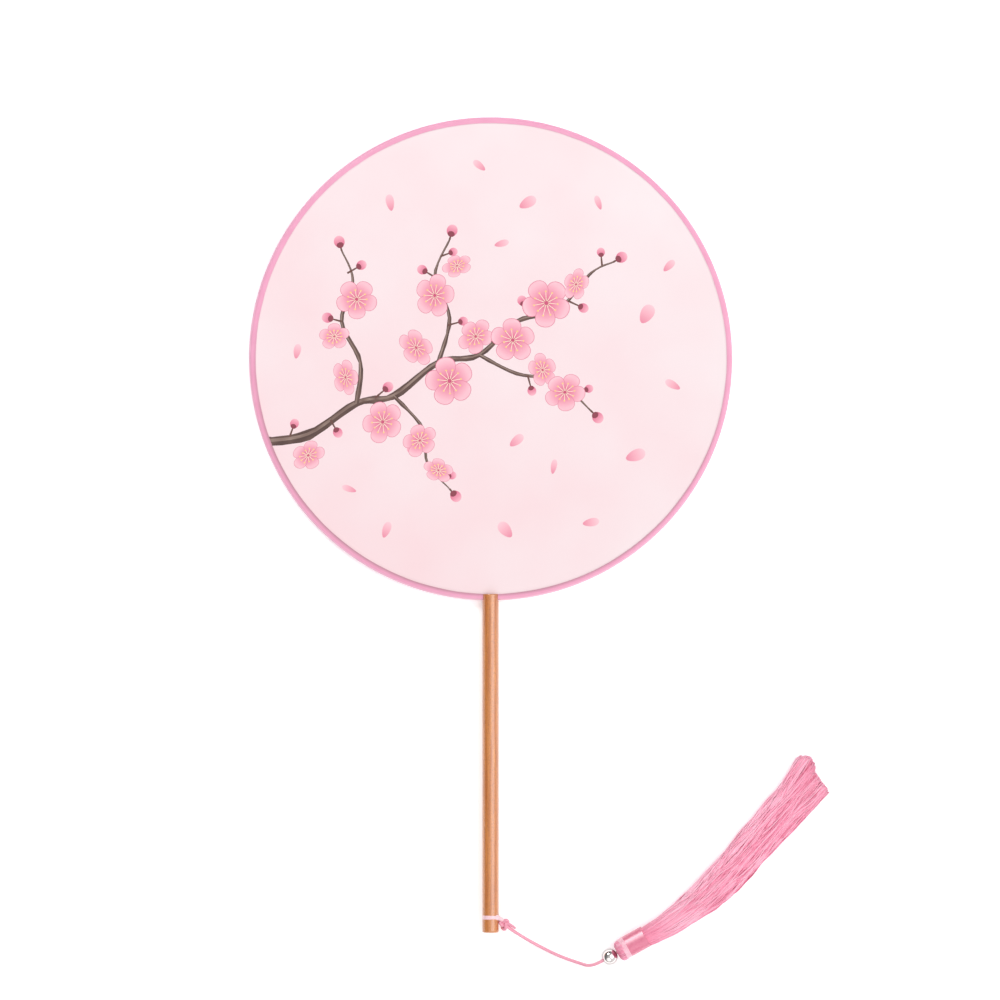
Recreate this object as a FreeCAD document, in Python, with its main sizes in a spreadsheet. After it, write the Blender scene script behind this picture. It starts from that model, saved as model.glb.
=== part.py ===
import FreeCAD, Part
import math
import os
import Sketcher

# Round hand fan with a tassel, lying on a table: X to the right, Y along the handle towards the hoop,
# Z up. The origin is on the table, under the middle of the fan's length. Millimetres and degrees.
# The fan rests on its rim and on the top of the handle, so it lies tilted by about half a degree.

SIZES = (
    ("fan_diameter", 260.0),       # across the disc, over the edging
    ("edge_width", 3.5),           # what the edging covers of the cloth, from the outer edge
    ("tape_thickness", 0.35),      # folded ribbon of the edging
    ("face_thickness", 0.25),      # each sheet of cloth
    ("hoop_wire", 2.0),            # diameter of the hoop's wire
    ("glue_gap", 0.1),             # glue line between layers
    ("tang_length", 24.0),         # wire legs below the rim, in the handle
    ("tang_gap", 0.2),             # between the two legs
    ("tang_bend", 1.0),            # inside radius where the wire turns into a leg
    ("handle_diameter", 8.8),
    ("handle_length", 182.0),
    ("butt_round", 0.8),           # rounding of the handle's free end
    ("tip_round", 0.4),            # rounding of the prongs' ends
    ("fit_gap", 0.1),              # rim and legs in the handle, each side
    ("bore_room", 1.0),            # left below the legs in the bore
    ("groove_height", 8.2),        # cord's groove above the butt
    ("groove_depth", 1.3),
    ("cord_diameter", 1.8),
    ("knot_width", 5.4),
    ("knot_length", 8.4),          # along the handle
    ("knot_height", 4.6),
    ("knot_gap", 0.5),             # between the handle and the knot
    ("knot_drop", 2.2),            # of the knot's middle, from the groove towards the butt
    ("joint_gap", 0.3),            # between pieces that swing or turn on each other
    ("bore_gap", 0.08),            # cord in the bead, all round
    ("bead_diameter", 8.4),
    ("head_length", 3.5),
    ("head_diameter", 11.6),
    ("head_round", 2.5),
    ("spigot_length", 8.5),        # part of the head inside the binding
    ("stop_knot", 3.2),            # knot at the end of the cord, inside the head
    ("stop_depth", 5.2),           # its middle, from the top of the head
    ("neck_length", 14.3),
    ("neck_diameter", 12.0),
    ("neck_wall", 0.5),
    ("neck_round", 0.2),
    ("skirt_length", 131.3),       # longest strands, beyond the binding
    ("skirt_width", 27.0),         # spread at the cut ends
    ("uneven_cut", 10.0),          # difference between the longest and the shortest strands
    ("cord_heading", -35.0),       # directions on the table, from X
    ("tassel_heading", 29.0),
    ("first_turn", 17.0),          # the skirt's two bends
    ("second_turn", 6.0),
    ("overrun", 1.0),              # cutters run past what they cut
)

doc = FreeCAD.newDocument("round_fan")
sheet = doc.addObject("Spreadsheet::Sheet", "Sizes")
for row, (alias, number) in enumerate(SIZES, 1):
    sheet.set(f"A{row}", str(number))
    sheet.setAlias(f"A{row}", alias)
doc.recompute()

# Sizes that follow from the sheet, from the hoop's middle plane and centre outwards.
WIRE = "(Sizes.hoop_wire / 2)"
CLOTH_IN = f"({WIRE} + Sizes.glue_gap)"
CLOTH_OUT = f"({CLOTH_IN} + Sizes.face_thickness)"
TAPE_IN = f"({CLOTH_OUT} + Sizes.glue_gap)"
TAPE_OUT = f"({TAPE_IN} + Sizes.tape_thickness)"
DISC = "(Sizes.fan_diameter / 2)"
RING = f"({DISC} - {TAPE_OUT})"
LIP = f"({DISC} - Sizes.edge_width)"
LEG = "((Sizes.hoop_wire + Sizes.tang_gap) / 2)"
BEND = f"({WIRE} + Sizes.tang_bend)"
SPREAD = f"({LEG} + {BEND})"
BEND_DEPTH = f"sqrt(({RING} + {BEND}) ^ 2 - {SPREAD} ^ 2)"
BEND_SHARE = f"({RING} / ({RING} + {BEND}))"
ROD = "(Sizes.handle_diameter / 2)"
SLOT = f"({TAPE_OUT} + Sizes.fit_gap)"
SLOT_FLOOR = "(Sizes.handle_length - Sizes.edge_width - Sizes.fit_gap)"
CORD = "(Sizes.cord_diameter / 2)"
SEAT = f"({CORD} + Sizes.glue_gap)"
LOOP = f"({ROD} - Sizes.groove_depth + {SEAT})"
KNOT = "(Sizes.knot_width / 2)"
KNOT_REACH = f"({ROD} + Sizes.knot_gap + {KNOT})"
BEAD = "(Sizes.bead_diameter / 2)"
HEAD = "(Sizes.head_diameter / 2)"
NECK = "(Sizes.neck_diameter / 2)"
BUNDLE = f"({NECK} - Sizes.neck_wall - Sizes.glue_gap)"
STOP = "(Sizes.stop_knot / 2)"
HEAD_START = f"({BEAD} + Sizes.joint_gap)"
NECK_START = f"({HEAD_START} + Sizes.head_length)"
PIVOT = f"({CORD} + Sizes.joint_gap)"


def mm(expression):
    result = sheet.evalExpression(expression)
    return getattr(result, "Value", result)


def minus(expression):
    return f"-({expression})"


def shift(x=0, y=0, z=0, turn=0):
    return FreeCAD.Placement(FreeCAD.Vector(x, y, z), FreeCAD.Rotation(FreeCAD.Vector(0, 0, 1), turn))


# Sketches: every point of an outline is held by two expressions, and every arc by its radius.
def new_sketch(body, role, offset=None):
    sketch = body.newObject("Sketcher::SketchObject", f"{body.Label}_sketch")
    plane = next(item for item in body.Origin.OriginFeatures if item.Role == role)
    sketch.AttachmentSupport = [(plane, "")]
    sketch.MapMode = "FlatFace"
    if offset:
        sketch.setExpression("AttachmentOffset.Base.z", offset)
    return sketch


def bind(sketch, kind, where, expression):
    number = sketch.addConstraint(Sketcher.Constraint(kind, *where, mm(expression)))
    sketch.setExpression(f"Constraints[{number}]", expression)


def hold(sketch, geometry, end, point):
    for kind, axis, expression in (("DistanceX", -2, point[0]), ("DistanceY", -1, point[1])):
        if expression == "0":
            sketch.addConstraint(Sketcher.Constraint("PointOnObject", geometry, end, axis))
        elif mm(expression) < 0:
            bind(sketch, kind, (geometry, end, -1, 1), minus(expression))
        else:
            bind(sketch, kind, (-1, 1, geometry, end), expression)


def arc_between(start, end, radius, left):
    middle = (start + end) / 2
    along = end - start
    side = FreeCAD.Vector(-along.y, along.x, 0).normalize()
    rise = math.sqrt(max(radius ** 2 - (along.Length / 2) ** 2, 0))
    centre = middle + side * (rise if left else -rise)
    first, last = (start, end) if left else (end, start)
    angles = [math.atan2(point.y - centre.y, point.x - centre.x) for point in (first, last)]
    if angles[1] < angles[0]:
        angles[1] += 2 * math.pi
    circle = Part.Circle(centre, FreeCAD.Vector(0, 0, 1), radius)
    return Part.ArcOfCircle(circle, *angles)


def outline(sketch, points, closed=True):
    """Line or arc to each point in turn: (x, y) or (x, y, radius, "left" or "right")."""
    places = [FreeCAD.Vector(mm(point[0]), mm(point[1]), 0) for point in points]
    order = list(range(1, len(points))) + ([0] if closed else [])
    ends = []
    for index in order:
        start, end = places[index - 1], places[index]
        if len(points[index]) == 2:
            geometry = sketch.addGeometry(Part.LineSegment(start, end), False)
            ends.append((geometry, 1, 2))
            continue
        radius, hand = points[index][2:]
        left = hand == "left"
        geometry = sketch.addGeometry(arc_between(start, end, mm(radius), left), False)
        ends.append((geometry, 1, 2) if left else (geometry, 2, 1))
        bind(sketch, "Radius", (geometry,), radius)
    for index, (geometry, first, last) in zip(order, ends):
        hold(sketch, geometry, last, points[index])
    if not closed:
        hold(sketch, ends[0][0], ends[0][1], points[0])
    followers = ends[1:] + (ends[:1] if closed else [])
    for before, after in zip(ends, followers):
        sketch.addConstraint(Sketcher.Constraint("Coincident", before[0], before[2], after[0], after[1]))
    return sketch


def disc(sketch, centre, radius):
    place = FreeCAD.Vector(mm(centre[0]), mm(centre[1]), 0)
    circle = Part.Circle(place, FreeCAD.Vector(0, 0, 1), mm(radius))
    geometry = sketch.addGeometry(circle, False)
    hold(sketch, geometry, 3, centre)
    bind(sketch, "Radius", (geometry,), radius)
    return sketch


def rectangle(sketch, left, right, low, high):
    return outline(sketch, ((left, low), (right, low), (right, high), (left, high)))


def new_body(label):
    body = doc.addObject("PartDesign::Body", label)
    body.Label = label
    return body


def turned(body, kind, sketch, axis):
    """Outline turned a full circle about one of its sketch's axes, added or cut away."""
    before = body.Shape.Volume if body.Tip else 0
    feature = body.newObject(f"PartDesign::{kind}", f"{body.Label}_{kind.lower()}")
    feature.Profile = sketch
    feature.ReferenceAxis = (sketch, [axis])
    feature.Angle = 360
    doc.recompute()
    check_change(body, before, kind == "Revolution")


def cut_through(body, sketch):
    before = body.Shape.Volume
    pocket = body.newObject("PartDesign::Pocket", f"{body.Label}_cut")
    pocket.Profile = sketch
    pocket.Type = "ThroughAll"
    pocket.SideType = "Symmetric"
    doc.recompute()
    check_change(body, before, False)


def piped(body, profile, path):
    pipe = body.newObject("PartDesign::AdditivePipe", f"{body.Label}_pipe")
    pipe.Profile = profile
    pipe.Spine = path
    doc.recompute()
    check_change(body, 0, True)


def check_change(body, before, grows):
    change = body.Shape.Volume - before
    if (change > 0) != grows or change == 0:
        raise ValueError(f"{body.Label}: the volume changes by {change:.3f}")


# Where the fan lies: tilted about X so that the rim's far edge and the prongs' ends touch the table.
prong = mm(f"{LIP} + Sizes.tip_round")
span = mm(RING) + prong
tilt = math.acos(mm(TAPE_OUT) / math.hypot(mm(ROD), span)) - math.atan2(span, mm(ROD))
disc_lift = mm(ROD) * math.cos(tilt) - prong * math.sin(tilt)
disc_place = mm(f"({LIP} + Sizes.handle_length - {DISC}) / 2")
at_rest = FreeCAD.Rotation(FreeCAD.Vector(1, 0, 0), -math.degrees(tilt))
on_table = FreeCAD.Placement(FreeCAD.Vector(0, disc_place, disc_lift), at_rest)
butt_place = on_table.multiply(shift(y=-mm(f"{LIP} + Sizes.handle_length")))
loop_place = butt_place.multiply(shift(y=mm("Sizes.groove_height")))

# Hoop: one length of wire bent to a ring, its two ends turned down side by side as the tang.
hoop = new_body("frame_hoop")
leg_end = minus(f"{DISC} + Sizes.tang_length")
join_x = f"{SPREAD} * {BEND_SHARE}"
join_y = minus(f"{BEND_DEPTH} * {BEND_SHARE}")
hoop_path = outline(new_sketch(hoop, "XY_Plane"), (
    (minus(LEG), leg_end),
    (minus(LEG), minus(BEND_DEPTH)),
    (minus(join_x), join_y, BEND, "left"),
    (minus(RING), "0", RING, "right"),
    ("0", RING, RING, "right"),
    (RING, "0", RING, "right"),
    (join_x, join_y, RING, "right"),
    (LEG, minus(BEND_DEPTH), BEND, "left"),
    (LEG, leg_end),
), closed=False)
hoop_section = disc(new_sketch(hoop, "XZ_Plane", minus(leg_end)), (minus(LEG), "0"), WIRE)
piped(hoop, hoop_section, hoop_path)
hoop.Placement = on_table


# Cloth: a flat sheet on each side of the hoop, its edge rolled round the wire and glued, and open
# where the wire turns down into the handle.
def cloth(label, sign, hand, other_hand):
    body = new_body(label)
    section = outline(new_sketch(body, "XZ_Plane"), (
        ("0", sign(CLOTH_IN)),
        (RING, sign(CLOTH_IN)),
        (f"{RING} + {CLOTH_IN}", "0", CLOTH_IN, hand),
        (f"{RING} + {CLOTH_OUT}", "0"),
        (RING, sign(CLOTH_OUT), CLOTH_OUT, other_hand),
        ("0", sign(CLOTH_OUT)),
    ))
    turned(body, "Revolution", section, "V_Axis")
    half = f"{SPREAD} + Sizes.glue_gap"
    far = minus(f"{DISC} + Sizes.overrun")
    cut_through(body, rectangle(new_sketch(body, "XY_Plane"), minus(half), half, far, minus(RING)))
    body.Placement = on_table
    return body


front_face = cloth("front_face", str, "right", "left")
back_face = cloth("back_face", minus, "left", "right")

# Edging: ribbon folded over the rim, its two ends either side of the tang.
edging = new_body("edge_tape")
edging_section = outline(new_sketch(edging, "XZ_Plane"), (
    (LIP, TAPE_IN),
    (RING, TAPE_IN),
    (f"{RING} + {TAPE_IN}", "0", TAPE_IN, "right"),
    (RING, minus(TAPE_IN), TAPE_IN, "right"),
    (LIP, minus(TAPE_IN)),
    (LIP, minus(TAPE_OUT)),
    (RING, minus(TAPE_OUT)),
    (DISC, "0", TAPE_OUT, "left"),
    (RING, TAPE_OUT, TAPE_OUT, "left"),
    (LIP, TAPE_OUT),
))
turned(edging, "Revolution", edging_section, "V_Axis")
gap_half = f"{SPREAD} + Sizes.glue_gap"
gap_sketch = new_sketch(edging, "XY_Plane")
gap_low = minus(f"{DISC} + Sizes.overrun")
gap_high = minus(f"{LIP} - Sizes.overrun")
cut_through(edging, rectangle(gap_sketch, minus(gap_half), gap_half, gap_low, gap_high))
edging.Placement = on_table

# Handle: turned rod with a groove for the cord, a slot over the rim and a bore for the tang.
handle = new_body("handle")
handle_section = outline(new_sketch(handle, "XY_Plane"), (
    ("0", "0"),
    (f"{ROD} - Sizes.butt_round", "0"),
    (ROD, "Sizes.butt_round", "Sizes.butt_round", "left"),
    (ROD, "Sizes.handle_length - Sizes.tip_round"),
    (f"{ROD} - Sizes.tip_round", "Sizes.handle_length", "Sizes.tip_round", "left"),
    ("0", "Sizes.handle_length"),
))
turned(handle, "Revolution", handle_section, "V_Axis")
groove_sketch = disc(new_sketch(handle, "XY_Plane"), (LOOP, "Sizes.groove_height"), SEAT)
turned(handle, "Groove", groove_sketch, "V_Axis")
slot_end = "Sizes.handle_length + Sizes.overrun"
slot_sketch = rectangle(new_sketch(handle, "YZ_Plane"), SLOT_FLOOR, slot_end, minus(SLOT), SLOT)
cut_through(handle, slot_sketch)
rod_volume = handle.Shape.Volume
bore = handle.newObject("PartDesign::Pocket", "tang_bore")
bore_radius = f"{LEG} + {WIRE} + Sizes.fit_gap"
bore.Profile = disc(new_sketch(handle, "XZ_Plane", minus(SLOT_FLOOR)), ("0", "0"), bore_radius)
bore.Reversed = True
bore.setExpression("Length", "Sizes.tang_length + Sizes.bore_room")
doc.recompute()
check_change(handle, rod_volume, False)
handle.Placement = butt_place

# Knot that closes the cord's loop, beside the handle.
knot = doc.addObject("Part::Ellipsoid", "loop_knot")
knot.Label = "loop_knot"
knot.setExpression("Radius1", "Sizes.knot_height / 2")
knot.setExpression("Radius2", KNOT)
knot.setExpression("Radius3", "Sizes.knot_length / 2")
knot.Placement = loop_place.multiply(shift(x=mm(KNOT_REACH), y=-mm("Sizes.knot_drop")))

# Loop: cord laid in the groove round the handle, its two ends drawn together into the knot.
loop_body = new_body("loop_cord")
touch_x = f"{LOOP} ^ 2 / {KNOT_REACH}"
touch_z = f"{LOOP} * sqrt(1 - ({LOOP} / {KNOT_REACH}) ^ 2)"
end_share = f"Sizes.cord_diameter / ({LOOP} * sqrt(({KNOT_REACH} / {LOOP}) ^ 2 - 1))"
end_x = f"{KNOT_REACH} + ({touch_x} - {KNOT_REACH}) * {end_share}"
end_z = f"{touch_z} * {end_share}"
loop_path = outline(new_sketch(loop_body, "XZ_Plane"), (
    (end_x, end_z),
    (touch_x, touch_z),
    ("0", LOOP, LOOP, "left"),
    (minus(LOOP), "0", LOOP, "left"),
    ("0", minus(LOOP), LOOP, "left"),
    (touch_x, minus(touch_z), LOOP, "left"),
    (end_x, minus(end_z)),
), closed=False)
loop_section = disc(new_sketch(loop_body, "YZ_Plane"), ("0", LOOP), CORD)
piped(loop_body, loop_section, loop_path)
loop_body.Placement = loop_place
loop = doc.addObject("Part::Cut", "cord_loop")
loop.Label = "cord_loop"
loop.Base = loop_body
loop.Tool = knot

# Free cord: from the knot down to the table and on to the bead. Steps in X and Y from its start,
# then the share of the knot's height and of the bead's height at which each point lies.
ROUTE_SHARES = (
    (0.0, 0.0, 1.0, 0.0),
    (5.9, -4.0, 0.8, 0.0),
    (15.0, -9.4, 0.0, 0.0),
    (26.6, -15.2, 0.0, 0.0),
    (37.0, -18.8, 0.0, 0.0),
    (43.84, -20.76, 0.0, 1.0),
    (49.04, -17.88, 0.0, 1.0),
)
cord_turn = math.radians(mm("Sizes.cord_heading"))
cord_way = FreeCAD.Vector(math.cos(cord_turn), math.sin(cord_turn), 0)
knot_long = mm("Sizes.knot_length / 2")
knot_turn = math.atan2(knot_long * cord_way.y, mm(KNOT) * cord_way.x)
knot_exit = FreeCAD.Vector(mm(KNOT) * math.cos(knot_turn), knot_long * math.sin(knot_turn), 0)
cord_start = knot.Placement.Base + knot_exit + cord_way * mm(PIVOT)
cord_radius = mm(CORD)
route = []
for step_x, step_y, knot_share, bead_share in ROUTE_SHARES:
    height = (cord_radius + (cord_start.z - cord_radius) * knot_share
              + (mm(BEAD) - cord_radius) * bead_share)
    route.append(FreeCAD.Vector(cord_start.x + step_x, cord_start.y + step_y, height))


def rounded_path(points, corner_share=0.45):
    """Straight runs joined by tangent arcs, each as wide as the shorter of its two runs lets it be."""
    edges = []
    start = points[0]
    for before, corner, after in zip(points, points[1:], points[2:]):
        back = before - corner
        ahead = after - corner
        reach = corner_share * min(back.Length, ahead.Length)
        half_turn = (math.pi - back.getAngle(ahead)) / 2
        radius = reach / math.tan(half_turn)
        print(f"cord bend radius {radius:.2f}")
        back.normalize()
        ahead.normalize()
        first = corner + back * reach
        last = corner + ahead * reach
        inward = (back + ahead).normalize()
        middle = corner + inward * (radius / math.cos(half_turn) - radius)
        edges.append(Part.LineSegment(start, first).toShape())
        edges.append(Part.Arc(first, middle, last).toShape())
        start = last
    edges.append(Part.LineSegment(start, points[-1]).toShape())
    return Part.Wire(edges)


cord_path = rounded_path(route)
cord_circle = Part.Circle(route[0], route[1] - route[0], cord_radius).toShape()
cord_tube = cord_path.makePipeShell([Part.Wire(cord_circle)], True, False)
tube_share = cord_tube.Volume / (math.pi * cord_radius ** 2 * cord_path.Length)
print(f"cord length {cord_path.Length:.2f}, volume over section times length {tube_share:.4f}")
round_ends = [Part.makeSphere(cord_radius, end) for end in (route[0], route[-1])]
cord = doc.addObject("Part::Feature", "tassel_cord")
cord.Label = "tassel_cord"
cord.Shape = cord_tube.multiFuse(round_ends)

# The tassel's own frame: X along its neck from the bead's middle, on the table.
heading = mm("Sizes.tassel_heading")
forward = FreeCAD.Rotation(FreeCAD.Vector(0, 0, 1), heading).multVec(FreeCAD.Vector(1, 0, 0))
bead_middle = route[-1] + forward * mm(f"{BEAD} + {PIVOT}")
bead_place = shift(bead_middle.x, bead_middle.y, bead_middle.z, heading)
neck_place = shift(bead_middle.x, bead_middle.y, mm(NECK), heading)

# Bead: metal ball bored through for the cord.
bead = new_body("bead")
bore_wall = f"({CORD} + Sizes.bore_gap)"
bore_reach = f"sqrt({BEAD} ^ 2 - {bore_wall} ^ 2)"
bead_section = outline(new_sketch(bead, "XY_Plane"), (
    (minus(bore_reach), bore_wall),
    ("0", BEAD, BEAD, "right"),
    (bore_reach, bore_wall, BEAD, "right"),
))
turned(bead, "Revolution", bead_section, "H_Axis")
bead.Placement = bead_place

# Hanger: the end of the cord, through the bead and into the head, with its stop knot.
hanger = new_body("hanger_cord")
stop_middle = f"({HEAD_START} + Sizes.stop_depth)"


def knotted(start, radius, stop_radius):
    reach = f"sqrt({stop_radius} ^ 2 - {radius} ^ 2)"
    return (
        (start, "0"),
        (start, radius),
        (f"{stop_middle} - {reach}", radius),
        (stop_middle, stop_radius, stop_radius, "right"),
        (f"{stop_middle} + {stop_radius}", "0", stop_radius, "right"),
    )


hanger_section = outline(new_sketch(hanger, "XY_Plane"), knotted(minus(BEAD), CORD, STOP))
turned(hanger, "Revolution", hanger_section, "H_Axis")
hanger.Placement = bead_place

# Head: the folded top of the strands, rounded towards the bead, with a spigot inside the binding.
head = new_body("tassel_head")
head_section = outline(new_sketch(head, "XY_Plane"), (
    (HEAD_START, "0"),
    (HEAD_START, f"{HEAD} - Sizes.head_round"),
    (f"{HEAD_START} + Sizes.head_round", HEAD, "Sizes.head_round", "right"),
    (f"{NECK_START} - Sizes.glue_gap", HEAD),
    (f"{NECK_START} - Sizes.glue_gap", BUNDLE),
    (f"{NECK_START} + Sizes.spigot_length", BUNDLE),
    (f"{NECK_START} + Sizes.spigot_length", "0"),
))
turned(head, "Revolution", head_section, "H_Axis")
cavity_sketch = new_sketch(head, "XY_Plane", f"{BEAD} - {NECK}")
outline(cavity_sketch, knotted(f"{HEAD_START} - Sizes.overrun", SEAT, f"({STOP} + Sizes.glue_gap)"))
turned(head, "Groove", cavity_sketch, "H_Axis")
head.Placement = neck_place

# Binding: thread wound round the neck as a smooth sleeve.
neck = new_body("neck_binding")
neck_end = f"{NECK_START} + Sizes.neck_length"
neck_section = outline(new_sketch(neck, "XY_Plane"), (
    (NECK_START, f"{NECK} - Sizes.neck_wall"),
    (NECK_START, f"{NECK} - Sizes.neck_round"),
    (f"{NECK_START} + Sizes.neck_round", NECK, "Sizes.neck_round", "right"),
    (f"{neck_end} - Sizes.neck_round", NECK),
    (neck_end, f"{NECK} - Sizes.neck_round", "Sizes.neck_round", "right"),
    (neck_end, f"{NECK} - Sizes.neck_wall"),
))
turned(neck, "Revolution", neck_section, "H_Axis")
neck.Placement = neck_place

# Strands: locks of thread packed as one, six and twelve round each other, spreading and flattening
# from the binding to the cut ends along a centre line that starts straight and then has two bends.
# Each row is a place along the skirt: share of its length, of the width at the ends, and of the
# height at the binding.
SKIRT_SHARES = (
    (0.12, 0.52, 0.90),
    (0.25, 0.575, 0.84),
    (0.40, 0.68, 0.78),
    (0.53, 0.735, 0.74),
    (0.66, 0.74, 0.70),
    (0.80, 0.77, 0.66),
    (0.90, 0.88, 0.62),
    (1.00, 1.00, 0.58),
)
STRAIGHT_SHARE = 0.06
FIRST_BEND_SHARE = 0.3
LOCK_SHARE = 0.195
LOCK_SIDES = 8
RING_SHARES = ((0.0, 1, 0.0), (0.4112, 6, 0.0), (0.7944, 12, 15.0))
# What is missing at the cut ends, across the skirt from right to left.
CUT_SHARES = ((-1.0, 1.0), (0.0, 0.5), (0.4, 0.0), (1.0, 0.6))

skirt = mm("Sizes.skirt_length")
bundle = mm(BUNDLE)
inside = mm("Sizes.neck_length - Sizes.spigot_length")
bends = (
    (inside + skirt * STRAIGHT_SHARE, 0),
    (skirt * FIRST_BEND_SHARE, math.radians(mm("Sizes.first_turn"))),
    (skirt * (1 - STRAIGHT_SHARE - FIRST_BEND_SHARE), math.radians(mm("Sizes.second_turn"))),
)


def centre_line(length):
    """Point and direction at a length along the strands, from their start inside the binding."""
    point = FreeCAD.Vector(mm(f"{NECK_START} + Sizes.spigot_length"), 0, 0)
    angle = 0
    for run, turn in bends:
        step = min(length, run)
        swing = turn * step / run
        chord = step if swing == 0 else 2 * run / turn * math.sin(swing / 2)
        point += FreeCAD.Vector(math.cos(angle + swing / 2), math.sin(angle + swing / 2), 0) * chord
        angle += swing
        length -= step
    return point, angle


def between(rows, key):
    for low, high in zip(rows, rows[1:]):
        if key <= high[0]:
            share = (key - low[0]) / (high[0] - low[0])
            return [a + (b - a) * share for a, b in zip(low[1:], high[1:])]
    return rows[-1][1:]


bundle_share = 2 * bundle / mm("Sizes.skirt_width")
skirt_rows = ((0.0, bundle_share, 1.0),) + SKIRT_SHARES


def lock_section(across, up, length):
    """Outline of one lock: regular in a round bundle, and stretched as the bundle is at that length."""
    point, angle = centre_line(length)
    along = max(length - inside, 0) / skirt
    width_share, height_share = between(skirt_rows, along)
    half_height = bundle * height_share
    point.z = half_height if along else mm(NECK)
    sideways = FreeCAD.Vector(-math.sin(angle), math.cos(angle), 0) * (
        mm("Sizes.skirt_width") / 2 * width_share)
    upright = FreeCAD.Vector(0, 0, half_height)
    corners = []
    for number in range(LOCK_SIDES + 1):
        corner = 2 * math.pi * number / LOCK_SIDES
        corners.append(point + sideways * (across + LOCK_SHARE * math.cos(corner))
                       + upright * (up + LOCK_SHARE * math.sin(corner)))
    return Part.makePolygon(corners)


def lock(across, up):
    end = inside + skirt - mm("Sizes.uneven_cut") * between(CUT_SHARES, across)[0]
    lengths = [0, inside] + [inside + skirt * row[0] for row in SKIRT_SHARES]
    lengths = [length for length in lengths if length < end - mm("Sizes.uneven_cut") / 2] + [end]
    return Part.makeLoft([lock_section(across, up, length) for length in lengths], True, False)


locks = []
for ring_share, count, start_angle in RING_SHARES:
    for number in range(count):
        angle = math.radians(start_angle + 360 * number / count)
        locks.append(lock(ring_share * math.cos(angle), ring_share * math.sin(angle)))
strands = doc.addObject("Part::Feature", "tassel_strands")
strands.Label = "tassel_strands"
strands.Shape = Part.makeCompound(locks)
strands.Placement = shift(bead_middle.x, bead_middle.y, 0, heading)

doc.recompute()
for item in doc.Objects:
    if "Invalid" in item.State or "Error" in item.State:
        raise ValueError(f"{item.Label}: {item.State}")

os.makedirs("parts", exist_ok=True)
fan_parts = (hoop, front_face, back_face, edging, handle, loop, knot)
tassel_parts = (cord, bead, hanger, head, neck, strands)
for part in fan_parts + tassel_parts:
    if part.Shape.isNull() or not part.Shape.isValid() or part.Shape.Volume <= 0:
        raise ValueError(f"{part.Label}: the shape isn't a valid solid")
    part.Shape.exportStep(f"parts/{part.Label}.step")
    box = part.Shape.BoundBox
    print(f"{part.Label}: {len(part.Shape.Solids)} solid(s), {part.Shape.Volume:.1f} mm3, "
          f"x {box.XMin:.2f} {box.XMax:.2f} y {box.YMin:.2f} {box.YMax:.2f} z {box.ZMin:.2f} {box.ZMax:.2f}")
print(f"tilt {math.degrees(tilt):.4f}, disc centre {tuple(on_table.Base)}, knot {tuple(knot.Placement.Base)}")
print(f"cord start {tuple(route[0])}, cord end {tuple(route[-1])}, bead {tuple(bead_middle)}")
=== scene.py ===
import math
import random

import bpy
from mathutils import Matrix, Vector, noise
from mathutils.geometry import delaunay_2d_cdt


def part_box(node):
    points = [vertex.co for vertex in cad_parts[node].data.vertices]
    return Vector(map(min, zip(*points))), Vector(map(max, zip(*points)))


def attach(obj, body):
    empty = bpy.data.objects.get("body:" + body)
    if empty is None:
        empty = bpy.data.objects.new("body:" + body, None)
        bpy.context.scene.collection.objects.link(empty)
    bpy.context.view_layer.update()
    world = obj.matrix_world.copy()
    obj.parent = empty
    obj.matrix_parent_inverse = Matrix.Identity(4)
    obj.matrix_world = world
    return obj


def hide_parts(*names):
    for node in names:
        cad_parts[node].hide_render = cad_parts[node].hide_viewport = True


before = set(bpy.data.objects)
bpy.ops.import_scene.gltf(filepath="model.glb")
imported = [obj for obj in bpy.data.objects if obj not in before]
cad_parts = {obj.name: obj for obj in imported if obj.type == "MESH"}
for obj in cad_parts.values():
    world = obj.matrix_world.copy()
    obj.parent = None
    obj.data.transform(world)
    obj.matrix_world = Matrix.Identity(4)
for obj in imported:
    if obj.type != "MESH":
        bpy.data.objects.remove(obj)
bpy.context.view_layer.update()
bpy.ops.object.select_all(action="DESELECT")


# Hoop: a ring of drawn spring steel, bent from one length of wire whose two ends go down
# into the handle. The cloths and the ribbon hide it, as they do on the real fan.
mm = 0.001


# Colours are sRGB hex codes, turned here to linear light.
def linear(code):
    parts = [int(code[place:place + 2], 16) / 255 for place in (1, 3, 5)]
    return [p / 12.92 if p <= 0.04045 else ((p + 0.055) / 1.055) ** 2.4 for p in parts] + [1.0]


# One node with its settings and links. A setting that is no input is a property of the node.
def node(tree, kind, settings=None, links=None):
    made = tree.nodes.new("ShaderNode" + kind)
    for name, value in (settings or {}).items():
        if isinstance(name, int) or name in made.inputs:
            made.inputs[name].default_value = value
        else:
            setattr(made, name, value)
    for name, source in (links or {}).items():
        tree.links.new(source, made.inputs[name])
    return made


# A new finish, with its node tree and its shader.
def new_finish(name):
    finish = bpy.data.materials.new(name)
    finish.use_nodes = True
    return finish, finish.node_tree, finish.node_tree.nodes["Principled BSDF"]


# Drawn steel: bright grey, with fine lines left by the drawing die.
drawn_steel, tree, shader = new_finish("drawn_steel")
place = node(tree, "TexCoord").outputs["Object"]
die_lines = node(tree, "TexNoise", {"Scale": 1 / (0.3 * mm), "Detail": 3.0}, {"Vector": place})
tint = node(tree, "ValToRGB", links={"Fac": die_lines.outputs["Fac"]})
tint.color_ramp.elements[0].color = linear("#8b8b8f")
tint.color_ramp.elements[1].color = linear("#b9b9bc")
gloss = node(tree, "MapRange", {"To Min": 0.25, "To Max": 0.45}, {"Value": die_lines.outputs["Fac"]})
tree.links.new(tint.outputs["Color"], shader.inputs["Base Color"])
tree.links.new(gloss.outputs["Result"], shader.inputs["Roughness"])
shader.inputs["Metallic"].default_value = 1.0
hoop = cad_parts["frame_hoop"]
hoop.data.materials.clear()
hoop.data.materials.append(drawn_steel)


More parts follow.
